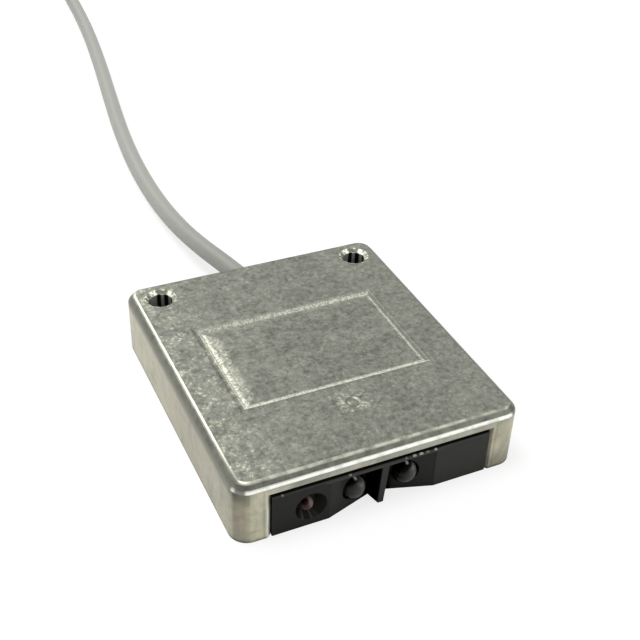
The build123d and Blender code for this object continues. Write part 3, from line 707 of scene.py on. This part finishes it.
@dataclass(frozen=True)
class RedResin(Finish):
    """Red tinted lamp: dark red core showing through its dome, and a paler rim of painted reflection."""

    name: str = "red_epoxy"
    core: Colour = (0.010, 0.0012, 0.0016)
    rim: Colour = (0.165, 0.120, 0.120)
    core_way: Point = (-0.378, -0.469, 0.797)

    def write(self, recipe: Recipe) -> bpy.types.Material:
        """Write the resin's nodes."""
        r = recipe
        cloud = r.noise(r.millimetres(), 0.8, 2.0)
        across, along, up = r.split(r.node("ShaderNodeNewGeometry", output="Normal"))
        way_x, way_y, way_z = self.core_way
        aligned = across * way_x + along * way_y + up * way_z
        # Painted reflection: the paler rim, brighter in crescents to the right
        crescent = (across * 0.85 - along * 0.2 + up * 0.4).over(0.1, 0.9)
        rim = aligned.over(0.95, 0.76) * (0.24 + crescent * 0.9) * (0.75 + cloud * 0.5)
        colour = r.blend(self.core, self.rim, rim.at_most(1.0))
        return r.surface(
            {"Base Color": colour, "Roughness": 0.16 + cloud * 0.05, "Specular IOR Level": 0.06}
        )


@dataclass(frozen=True)
class Plain(Finish):
    """A finish with soft clouding and fine grain: plastic, rubber, paint or metal."""

    name: str
    colour: Colour
    roughness: float = 0.5
    metallic: float = 0.0
    grain: float = 0.3
    cloud: float = 0.25
    depth: float = 0.01

    def write(self, recipe: Recipe) -> bpy.types.Material:
        """Write the finish's nodes."""
        place = recipe.millimetres()
        cloud = recipe.noise(place, self.grain * 8.0, 3.0)
        grain = recipe.noise(place, self.grain, 2.0)
        shade = 1.0 + (cloud - 0.5) * 2.0 * self.cloud + (grain - 0.5) * self.cloud
        return recipe.surface(
            {
                "Base Color": recipe.tinted(self.colour, shade),
                "Metallic": self.metallic,
                "Roughness": self.roughness + (cloud - 0.5) * 0.15,
                "Normal": recipe.bump(grain, self.depth, 0.5),
            }
        )


@dataclass(frozen=True)
class Jacket(Finish):
    """Grey cable jacket: satin, darker and a little rougher near where it leaves the housing, in
    millimetres.
    """

    name: str = "cable_grey"
    colour: Colour = (0.245, 0.25, 0.222)
    darker_reach: tuple[float, float] = (38.0, 110.0)

    def write(self, recipe: Recipe) -> bpy.types.Material:
        """Write the jacket's nodes."""
        place = recipe.millimetres()
        _, along, _ = recipe.split(place)
        cloud = recipe.noise(place, 3.2, 3.0)
        grain = recipe.noise(place, 0.4, 2.0)
        # Darker over the stretch nearest the housing
        near = along.over(self.darker_reach[1], self.darker_reach[0])
        shade = 1.03 - near * 0.19 + (cloud - 0.5) * 0.16 + (grain - 0.5) * 0.06
        return recipe.surface(
            {
                "Base Color": recipe.tinted(self.colour, shade),
                "Roughness": 0.46 + (cloud - 0.5) * 0.2 + near * 0.06,
                "Normal": recipe.bump(grain, 0.012, 0.5),
            }
        )


@dataclass(frozen=True)
class GrainedPlate(Finish):
    """Matt black moulded plate: fine spark-eroded grain, flow clouding and a few pale scuffs."""

    name: str = "black_plate"
    colour: Colour = (0.024, 0.024, 0.0232)
    scuff: Colour = (0.085, 0.085, 0.08)

    def write(self, recipe: Recipe) -> bpy.types.Material:
        """Write the plate's nodes."""
        place = recipe.millimetres()
        grain = recipe.noise(place, 0.32, 2.0, 0.6)
        cloud = recipe.noise(place, 9.0, 3.0)
        drawn = recipe.vector("MULTIPLY", place, (0.10, 1.4, 1.0))
        crossed = recipe.vector("MULTIPLY", place, (1.1, 0.14, 1.0))
        lengthways = recipe.noise(drawn, 1.0, 1.0).over(0.70, 0.78)
        crossways = recipe.noise(crossed, 1.0, 1.0).over(0.72, 0.80)
        scuffs = (lengthways + crossways).at_most(1.0) * cloud.over(0.42, 0.6)
        shade = 1.0 + (cloud - 0.5) * 0.35 + (grain - 0.5) * 0.5
        colour = recipe.blend(recipe.tinted(self.colour, shade), self.scuff, scuffs * 0.55)
        return recipe.surface(
            {
                "Base Color": colour,
                "Roughness": 0.62 + (cloud - 0.5) * 0.12 - scuffs * 0.15,
                "Normal": recipe.bump(grain, 0.03, 0.6),
            }
        )


@dataclass(frozen=True)
class MaskedBoard(Finish):
    """Green solder mask over copper: paler tracks, tinned rings and bare edges, in millimetres."""

    name: str = "board_green"
    mask: Colour = (0.012, 0.085, 0.030)
    track: Colour = (0.030, 0.150, 0.055)
    tin: Colour = (0.55, 0.55, 0.52)
    laminate: Colour = (0.28, 0.25, 0.12)
    pitch: float = 1.9

    def write(self, recipe: Recipe) -> bpy.types.Material:
        """Write the board's nodes."""
        r = recipe
        place = r.millimetres()
        cloud = r.noise(place, 4.0, 3.0)
        wander = r.noise(place, 7.0, 1.0) * 5.0
        x, y, _ = r.split(place)
        up = abs(r.facing_up()).over(0.5, 0.8)
        lane = ((x + wander) * (2.0 * math.pi / self.pitch)).sine().over(0.55, 0.75)
        crossing = ((y + wander) * (2.0 * math.pi / (self.pitch * 1.6))).sine().over(0.7, 0.85)
        area = r.cells(place, 8.0, "Color")
        choice = r.split(area)[0]
        tracks = (lane * choice.over(0.45, 0.5) + crossing * choice.over(0.55, 0.5)).at_most(1.0)
        via = r.cells(place, 4.2).over(0.11, 0.08)
        colour = r.blend(self.mask, self.track, tracks)
        colour = r.tinted(colour, 0.9 + cloud * 0.2)
        colour = r.blend(colour, self.tin, via)
        colour = r.blend(self.laminate, colour, up)
        return r.surface(
            {
                "Base Color": colour,
                "Metallic": via * up * 0.9,
                "Roughness": 0.34 + (cloud - 0.5) * 0.1,
                "Normal": r.bump(tracks + via, 0.03, 0.6),
            }
        )


JACKET = Jacket()
DEEP_RESIN = DarkResin(
    "dark_epoxy_deep",
    level=1.29,
    slant=1.53,
    fall=0.48,
    glint=3.0,
    glint_rise=0.66,
    dark_reflection_edge=(0.40, 0.62),
)
SEAL_RUBBER = Plain("seal_rubber", (0.022, 0.022, 0.021), 0.72, 0.0, 0.2, 0.25)
SHRINK_BLACK = Plain("shrink_black", (0.02, 0.02, 0.02), 0.42, grain=0.3, cloud=0.12)
TINNED = Plain("tinned_wire", (0.72, 0.71, 0.68), 0.28, 1.0, 0.2, 0.1)
INSULATION = {
    "brown": Plain("insulation_brown", (0.16, 0.06, 0.025), 0.42, 0.0, 0.3, 0.1),
    "blue": Plain("insulation_blue", (0.02, 0.08, 0.36), 0.42, 0.0, 0.3, 0.1),
    "black": Plain("insulation_black", (0.02, 0.02, 0.02), 0.42, 0.0, 0.3, 0.1),
}


class FarEnd(Enum):
    """What a lead ends in."""

    BARE = "bare"


def deselect_all() -> None:
    for piece in bpy.context.selected_objects:
        piece.select_set(False)


def settle(piece: bpy.types.Object) -> bpy.types.Object:
    """Carry a piece's place into its mesh, so its object sits at the origin."""
    deselect_all()
    piece.select_set(True)
    bpy.context.view_layer.objects.active = piece
    bpy.ops.object.transform_apply(location=True, rotation=True, scale=True)
    return piece


class Turned:
    """A turned shape drawn out ring by ring in edit mode, in millimetres."""

    def __init__(
        self,
        name: str,
        start: Sequence[float],
        axis: Sequence[float],
        radius: float,
        sides: int = 48,
    ) -> None:
        """Lay the first ring.

        Args:
            name: the piece's name.
            start: the ring's centre.
            axis: the direction in which the shape is drawn out.
            radius: the ring's radius.
            sides: how many sides it has.
        """
        deselect_all()
        self.axis = Vector(axis).normalized()
        self.centre = Vector(start) * MM
        self.radius = radius
        bpy.ops.mesh.primitive_circle_add(
            vertices=sides,
            radius=radius * MM,
            location=self.centre,
            rotation=self.axis.to_track_quat("Z", "Y").to_euler(),
        )
        self.piece = settle(bpy.context.object)
        self.piece.name = name
        bpy.ops.object.mode_set(mode="EDIT")
        bpy.ops.mesh.select_mode(type="VERT")
        bpy.ops.mesh.select_all(action="SELECT")

    def to(self, along: float, radius: float) -> None:
        """Draw the last ring out to a new one.

        Args:
            along: how far on the new ring lies.
            radius: its radius.
        """
        step = self.axis * along * MM
        bpy.ops.mesh.extrude_region_move(TRANSFORM_OT_translate={"value": step})
        self.centre = self.centre + step
        ratio = radius / self.radius
        bpy.ops.transform.resize(value=(ratio, ratio, ratio), center_override=self.centre)
        self.radius = radius

    def through(self, profile: Iterable[tuple[float, float]]) -> None:
        """Draw on through rings, each given by its step along the axis and its radius."""
        for along, radius in profile:
            self.to(along, radius)

    def finish(self, bored: bool, sharp: float = 40.0) -> bpy.types.Object:
        """Close the shape and leave edit mode.

        Args:
            bored: whether the last ring joins the first one round a bore, or each is capped.
            sharp: the angle, in degrees, from which an edge stays sharp.

        Returns:
            The piece.
        """
        bpy.ops.mesh.select_all(action="DESELECT")
        bpy.ops.mesh.select_non_manifold()
        if bored:
            bpy.ops.mesh.bridge_edge_loops()
        else:
            bpy.ops.mesh.fill_holes(sides=0)
        bpy.ops.mesh.select_all(action="SELECT")
        bpy.ops.mesh.normals_make_consistent(inside=False)
        bpy.ops.object.mode_set(mode="OBJECT")
        bpy.ops.object.shade_smooth_by_angle(angle=math.radians(sharp))
        return self.piece


def soft_line(
    name: str,
    runs: Sequence[tuple[Sequence[Sequence[float]], float]],
    finishes: Sequence[Finish],
    resolution: int = 6,
) -> bpy.types.Object:
    """A round line of one or more smooth splines.

    Args:
        name: the piece's name.
        runs: each spline's control points and its radius, in millimetres.
        finishes: each spline's finish.
        resolution: how finely the splines are divided.

    Returns:
        The curve, which isn't riding on anything yet.
    """
    data = bpy.data.curves.new(name, "CURVE")
    data.dimensions = "3D"
    data.bevel_depth = 1.0
    data.bevel_resolution = ROUND_STEPS
    data.resolution_u = resolution
    data.use_fill_caps = True
    for finish in finishes:
        data.materials.append(finish.material())
    for number, (points, radius) in enumerate(runs):
        spline = data.splines.new("NURBS")
        spline.points.add(len(points) - 1)
        for slot, point in zip(spline.points, points):
            slot.co = (*(part * MM for part in point), 1.0)
            slot.radius = radius * MM
        spline.order_u = SPLINE_ORDER
        spline.use_endpoint_u = True
        spline.material_index = number
    line = bpy.data.objects.new(name, data)
    bpy.context.scene.collection.objects.link(line)
    return line


@dataclass(frozen=True)
class Lamp:
    """A square soft lamp that faces the part, in metres and watts."""

    name: str
    place: Point
    size: float
    power: float
    aim: Point = (0.0, 0.0, 0.0)


@dataclass
class Studio:
    """Camera, lamps, world and floor."""

    eye: Point = (-0.081736, -0.171558, 0.158053)
    turn: Point = (54.3432, -1.8795, -24.6799)
    lens: float = 59.528
    sensor: float = 36.0
    clip: tuple[float, float] = (0.01, 20.0)
    floor_size: float = 6.0
    floor_colour: Colour = (0.86, 0.86, 0.86)
    glow: float = 0.76
    fade: tuple[float, float] = (250.0, 900.0)
    world_light: float = 0.45
    lamps: tuple[Lamp, ...] = (
        Lamp("key", (-0.25, 0.10, 0.95), 0.45, 7.0),
        Lamp("fill", (0.60, -0.60, 0.45), 0.6, 3.0),
        Lamp("back", (-0.20, 0.80, 0.75), 0.6, 4.0),
    )

    def camera(self) -> None:
        """Set the camera where the photograph was taken from."""
        data = bpy.data.cameras.new("view")
        data.lens = self.lens
        data.sensor_width = self.sensor
        data.clip_start, data.clip_end = self.clip
        eye = bpy.data.objects.new("view", data)
        eye.location = self.eye
        eye.rotation_euler = Euler([math.radians(angle) for angle in self.turn], "XYZ")
        bpy.context.scene.collection.objects.link(eye)
        bpy.context.scene.camera = eye

    def hang(self, lamp: Lamp) -> None:
        """Hang one lamp."""
        data = bpy.data.lights.new(lamp.name, "AREA")
        data.shape, data.size, data.energy = "SQUARE", lamp.size, lamp.power
        hung = bpy.data.objects.new(lamp.name, data)
        hung.location = lamp.place
        way = Vector(lamp.aim) - Vector(lamp.place)
        hung.rotation_euler = way.to_track_quat("-Z", "Y").to_euler()
        bpy.context.scene.collection.objects.link(hung)

    def floor(self) -> None:
        """Lay a white floor that keeps a soft shadow and fades to white far from the part."""
        deselect_all()
        bpy.ops.mesh.primitive_plane_add(size=self.floor_size, location=(0.0, 0.0, 0.0))
        floor = settle(bpy.context.object)
        floor.name = "studio_floor"
        r = Recipe("studio_floor")
        seen = r.node("ShaderNodeLightPath", output="Is Camera Ray")
        paper = r.node("ShaderNodeBsdfDiffuse", inputs={"Color": self.floor_colour})
        white = r.node("ShaderNodeEmission", inputs={"Color": (1.0, 1.0, 1.0), "Strength": 1.0})
        x, y, _ = r.split(r.millimetres())
        far = ((x * x + y * y) ** 0.5).over(*self.fade)
        whiteness = self.glow + far * (1.0 - self.glow)
        mixed = r.node("ShaderNodeMixShader", inputs={0: whiteness, 1: paper, 2: white})
        floor.data.materials.append(
            r.close(r.node("ShaderNodeMixShader", inputs={0: seen, 1: paper, 2: mixed}))
        )

    def world(self) -> None:
        """Fill the world with plain white, brighter where it is seen or mirrored."""
        world = bpy.data.worlds.new("studio_world")
        world.use_nodes = True
        tree = world.node_tree
        tree.nodes.clear()
        path = tree.nodes.new("ShaderNodeLightPath")
        seen = Signal(tree, path.outputs["Is Camera Ray"])
        seen = seen.at_least(Signal(tree, path.outputs["Is Glossy Ray"]))
        seen = seen.at_least(Signal(tree, path.outputs["Is Transmission Ray"]))
        background = tree.nodes.new("ShaderNodeBackground")
        background.inputs["Color"].default_value = (1.0, 1.0, 1.0, 1.0)
        strength = self.world_light + seen * (1.0 - self.world_light)
        tree.links.new(strength.socket, background.inputs["Strength"])
        output = tree.nodes.new("ShaderNodeOutputWorld")
        tree.links.new(background.outputs[0], output.inputs[0])
        bpy.context.scene.world = world

    def build(self) -> None:
        """Set up the whole studio."""
        bpy.context.scene.view_settings.view_transform = "Standard"
        self.camera()
        self.world()
        self.floor()
        for lamp in self.lamps:
            self.hang(lamp)


@dataclass
class Grommet:
    """Tapered rubber strain relief in the back wall, in millimetres."""

    height: float = 7.45
    inner_face: float = 33.4
    bore: float = 2.5
    profile: tuple[tuple[float, float], ...] = (
        (0.0, 4.35), (0.22, 4.6), (0.74, 4.6), (0.24, 4.35), (0.0, 4.0), (2.4, 4.0),
        (0.0, 4.45), (0.12, 4.6), (0.33, 4.5), (0.12, 4.3), (0.02, 3.7), (0.30, 3.64),
        (0.02, 4.12), (0.1, 4.2), (0.32, 4.08), (0.1, 3.94), (0.02, 3.42), (0.30, 3.36),
        (0.02, 3.72), (0.1, 3.8), (0.32, 3.68), (0.1, 3.54), (0.02, 3.12), (0.25, 3.08),
        (0.02, 3.26), (0.1, 3.34), (0.22, 3.32), (0.12, 3.14),
    )

    def build(self) -> bpy.types.Object:
        """Draw the grommet out along the cable and put it in place of its solid."""
        turned = Turned("strain_relief", (0.0, self.inner_face, self.height), (0.0, 1.0, 0.0), self.bore)
        turned.through(self.profile)
        turned.to(0.0, self.bore)
        piece = turned.finish(bored=True, sharp=50.0)
        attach(piece, "root")
        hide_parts("cable_grommet")
        SEAL_RUBBER.dress(piece)
        return piece


@dataclass
class BareEnd:
    """Shrink sleeve on the jacket's end and the three stripped cores that fan out of it, in millimetres."""

    end: Vector
    along: Vector
    rest_level: float = 15.6
    overlap: float = 3.0
    sleeve: tuple[tuple[float, float], ...] = (
        (0.0, 2.72), (0.15, 2.79), (1.0, 2.78), (0.5, 2.74), (0.5, 2.79), (0.8, 2.78),
        (0.9, 2.74), (0.8, 2.58), (0.8, 2.38), (0.7, 2.24), (0.7, 2.18), (0.6, 2.20),
        (0.7, 2.12), (0.5, 2.02), (0.4, 1.86), (0.15, 1.6),
    )
    mouth_radius: float = 2.52
    sides: int = 36
    core_radius: float = 0.6
    strand_radius: float = 0.42
    pitch: float = 1.3
    lead_in: float = 2.0
    straight: float = 5.6
    bend_share: float = 0.25
    reach: float = 15.0
    fan: float = 3.64
    stripped: float = 5.0
    strand_overlap: float = 0.6
    strand_straight: float = 2.5
    strand_droop: float = 0.08
    strand_splay: float = 0.25

    def shrink_sleeve(self) -> bpy.types.Object:
        """Draw the sleeve out over the jacket and down to the cores."""
        start = self.end - self.along * self.overlap
        turned = Turned("shrink_sleeve", start, self.along, self.mouth_radius, self.sides)
        turned.through(self.sleeve)
        piece = turned.finish(bored=False, sharp=60.0)
        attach(piece, "root")
        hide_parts("end_sleeve")
        SHRINK_BLACK.dress(piece)
        return piece

    def core(self, colour: str, column: int, insulation: Finish) -> bpy.types.Object:
        """Lay one core and its bare strands.

        Args:
            colour: the core's colour, as in its node's name.
            column: -1, 0 or 1 across the fan.
            insulation: its finish.

        Returns:
            The core.
        """
        across = Vector((-self.along.y, self.along.x, 0.0))
        length = sum(step for step, _ in self.sleeve) - self.overlap
        start = self.end + self.along * length + across * (column * self.pitch)
        bend = self.end + self.along * (length + self.straight) + across * (column * self.pitch)
        tip = self.end + self.along * (length + self.reach) + across * (column * self.fan)
        tip.z = self.rest_level
        run = tip - bend
        stop = bend + run * (1.0 - self.stripped / run.length)
        way = run.normalized()
        droop = Vector((0.0, 0.0, -self.strand_droop)) + across * (column * self.strand_splay)
        points = [
            start - self.along,
            start,
            start + self.along * self.lead_in,
            bend,
            bend + run * self.bend_share,
            stop,
        ]
        strands = [stop - way * self.strand_overlap, stop + way * self.strand_straight, tip + droop]
        piece = soft_line(
            f"core_end_{colour}",
            [(points, self.core_radius), (strands, self.strand_radius)],
            [insulation, TINNED],
        )
        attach(piece, "root")
        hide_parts(f"end_wire_{colour}")
        return piece

    def build(self) -> list[bpy.types.Object]:
        """Make the sleeve and the three cores."""
        columns = {"brown": -1, "blue": 0, "black": 1}
        cores = [self.core(colour, column, INSULATION[colour]) for colour, column in columns.items()]
        return [self.shrink_sleeve(), *cores]


@dataclass
class Lead:
    """The free cable, wound away behind the view, and its bare end.

    The radius, length and exit are in metres; the length and the exit are not used. The route and the coil
    are in millimetres, and each of the coil's stops is an angle in degrees, the ring's radius and the level
    there.
    """

    radius: float = 2.5 * MM
    length: float = 1.9
    exit: Point = (0.0, 0.040, 0.00745)
    route: tuple[Point, ...] = (
        (0.0, 40.0, 7.45),
        (-2.0, 49.5, 7.25),
        (-4.6, 62.0, 6.3),
        (-6.1, 78.0, 4.6),
        (-6.3, 97.0, 2.9),
        (-5.6, 119.0, 2.5),
        (-3.2, 144.0, 2.5),
        (1.0, 173.0, 2.5),
        (6.0, 206.0, 2.5),
        (10.5, 242.0, 2.5),
        (13.4, 280.0, 2.5),
        (14.4, 317.0, 2.5),
    )
    coil_x: float = -20.0
    coil_y: float = 352.0
    points_per_turn: int = 15
    last_straight: float = 4.0
    stops: tuple[tuple[float, float, float], ...] = (
        (0, 34, 2.5), (270, 34, 2.5), (330, 29, 2.5), (630, 29, 2.5), (690, 24, 2.5),
        (930, 24, 2.5), (990, 24, 7.5), (1230, 24, 7.5), (1290, 29, 7.5), (1590, 29, 7.5),
        (1650, 34, 7.5), (1890, 34, 7.5), (1950, 34, 12.5), (2190, 34, 12.5), (2250, 29, 12.5),
        (2550, 29, 12.5), (2610, 24, 12.5), (2850, 24, 12.5), (2910, 29, 17.8), (3040, 29, 17.8),
    )

    def on_coil(self, angle: float, radius: float, level: float) -> Point:
        """The point at an angle in degrees, a radius and a level of the coil."""
        turn = math.radians(angle)
        return (self.coil_x + radius * math.cos(turn), self.coil_y + radius * math.sin(turn), level)

    def turns(self) -> list[Point]:
        """The coil's points: rings side by side, three layers, the last run on top."""
        points = []
        step = FULL_TURN / self.points_per_turn
        for number in range(int(self.stops[-1][0] // step) + 1):
            angle = number * step
            stretches = zip(self.stops, self.stops[1:])
            low, high = next(pair for pair in stretches if pair[0][0] <= angle <= pair[1][0])
            share = (angle - low[0]) / (high[0] - low[0])
            share = share * share * (3.0 - 2.0 * share)
            radius, level = (first + (last - first) * share for first, last in zip(low[1:], high[1:]))
            points.append(self.on_coil(angle, radius, level))
        return points

    def bare_end(self) -> BareEnd:
        """The sleeve and cores, which carry on from the last turn."""
        last = self.stops[-1]
        turn = math.radians(last[0])
        return BareEnd(Vector(self.on_coil(*last)), Vector((-math.sin(turn), math.cos(turn), 0.0)))

    def build(self) -> bpy.types.Object:
        bare = self.bare_end()
        before_end = bare.end - bare.along * self.last_straight
        points = [*self.route, *self.turns(), tuple(before_end), tuple(bare.end)]
        run = soft_line("cable_run", [(points, self.radius / MM)], [JACKET])
        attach(run, "root")
        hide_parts("cable", "cable_coil", "cable_tail")
        2.0 * self.radius
        bare.build()
        return run


NODE_FINISHES: dict[Finish, tuple[str, ...]] = {
    CastAlloy(): ("housing",),
    BlackMoulding(): ("optic_block",),
    DarkResin(): ("emitter_lamp",),
    DEEP_RESIN: ("receiver_lamp",),
    RedResin(): ("indicator_lamp",),
    TINNED: ("emitter_leads", "receiver_leads", "indicator_leads", "solder_joints"),
    Plain("zinc_steel", (0.60, 0.59, 0.56), 0.32, 1.0, 0.25, 0.15): (
        "cover_screw_1", "cover_screw_2", "cover_screw_3", "cover_screw_4",
        "board_screw_1", "board_screw_2", "board_screw_3", "board_screw_4",
        "optic_screw_left", "optic_screw_right", "clamp_screw_left", "clamp_screw_right",
        "cable_clamp",
    ),
    GrainedPlate(): ("base_cover",),
    SEAL_RUBBER: ("base_gasket",),
    MaskedBoard(): ("circuit_board",),
    Plain("chip_black", (0.02, 0.02, 0.02), 0.6, 0.0, 0.1, 0.2): (
        "amplifier_chip", "logic_chip", "regulator", "output_transistor", "protection_diode",
    ),
    Plain("can_metal", (0.75, 0.75, 0.74), 0.25, 1.0, 0.2, 0.08): ("smoothing_capacitor",),
    Plain("ceramic_tan", (0.38, 0.28, 0.17), 0.45, 0.0, 0.2, 0.15): ("chip_capacitors", "chip_resistors"),
    INSULATION["brown"]: ("core_brown",),
    INSULATION["blue"]: ("core_blue",),
    INSULATION["black"]: ("core_black",),
    JACKET: ("cable_inside",),
}


def dress_nodes(finishes: dict[Finish, Iterable[str]]) -> None:
    """Put finishes on the frame's own nodes."""
    for finish, names in finishes.items():
        for name in names:
            finish.dress(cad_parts[name])
            log.info("%s in %s", name, finish.name)


def write_sizes() -> None:
    """Update the view layer.
    """
    bpy.context.view_layer.update()


def main() -> None:
    """Build the studio, the lead and the dressed nodes."""
    logging.basicConfig(level=logging.INFO, format="%(name)s: %(message)s")
    Studio().build()
    log.info("studio")
    Lead().build()
    log.info("cable_run and its bare end")
    Grommet().build()
    log.info("strain_relief")
    dress_nodes(NODE_FINISHES)
    write_sizes()


if __name__ == "__main__":
    main()
